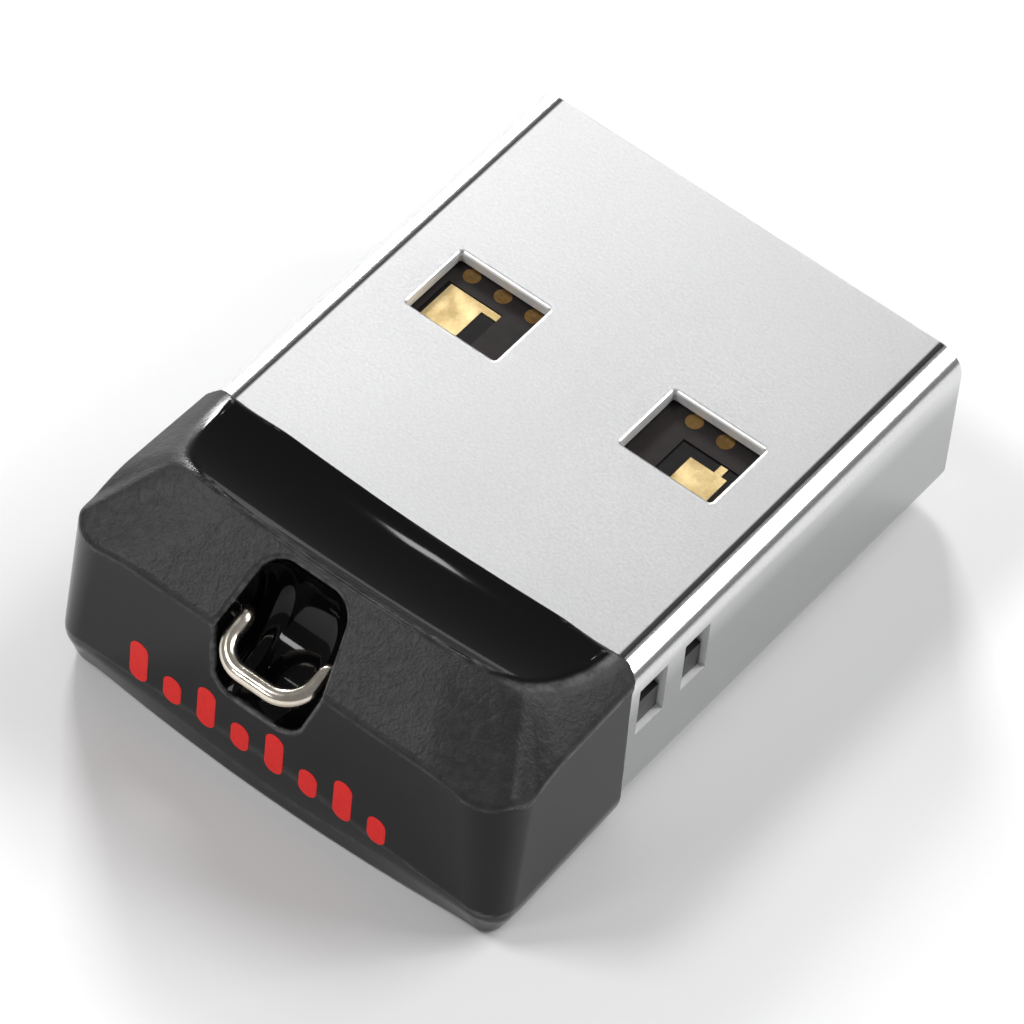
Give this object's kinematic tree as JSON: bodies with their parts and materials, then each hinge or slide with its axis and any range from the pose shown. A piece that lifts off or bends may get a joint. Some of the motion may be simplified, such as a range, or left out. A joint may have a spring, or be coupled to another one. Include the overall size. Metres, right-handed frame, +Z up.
{
  "type": "usb flash drive",
  "caption": "Very short capless flash drive: a bare steel plug with latch windows, a grained black end cap with a dished finger scoop, and a wire lanyard bail.",
  "frame": {"origin": "under the middle of the drive's bounding box, on the plane of the cap's underside", "axes": "+Y from the cap to the mouth of the plug, which is the way it is pushed into a socket; +X across the plug; +Z up through the side with the laminate under the windows"},
  "size_m": [0.0124, 0.0172, 0.006],
  "materials": {
    "shell_steel": "satin stainless sheet with a fine rolled grain",
    "cap_plastic": "black moulded plastic, grained outside and polished in the scoop and pocket",
    "bail_metal": "nickel plated wire with a warm tone",
    "carrier_plastic": "black moulded plastic",
    "contact_gold": "gold plated stamped strip",
    "pad_gold": "gold plated copper pad",
    "probe_lacquer": "copper pad under dark lacquer",
    "laminate": "black solder mask on laminate",
    "mold_epoxy": "moulding compound",
    "silicon": "polished silicon",
    "attach_film": "die attach film",
    "bond_gold": "drawn gold wire",
    "solder": "tin solder",
    "capacitor_ceramic": "multilayer ceramic with tinned ends",
    "resistor_ceramic": "thick film chip with tinned ends",
    "resonator_lid": "plated metal lid",
    "array_epoxy": "small moulded package"
  },
  "bodies": {
    "root": {"plug_shell": "shell_steel", "end_cap": "cap_plastic", "lanyard_bail": "bail_metal", "contact_carrier": "carrier_plastic", "contact_vbus": "contact_gold", "contact_d_minus": "contact_gold", "contact_d_plus": "contact_gold", "contact_ground": "contact_gold", "contact_solder_joints": "solder", "package_substrate": "laminate", "supply_test_pads": "pad_gold", "lacquered_probe_pads": "probe_lacquer", "mold_compound": "mold_epoxy", "flash_die_first": "silicon", "flash_die_second": "silicon", "flash_attach_film_first": "attach_film", "flash_attach_film_second": "attach_film", "controller_die": "silicon", "controller_attach_film": "attach_film", "flash_bond_wires": "bond_gold", "controller_bond_wires": "bond_gold", "decoupling_capacitors": "capacitor_ceramic", "series_resistors": "resistor_ceramic", "clock_resonator": "resonator_lid", "esd_protection_array": "array_epoxy"}
  },
  "joints": []
}
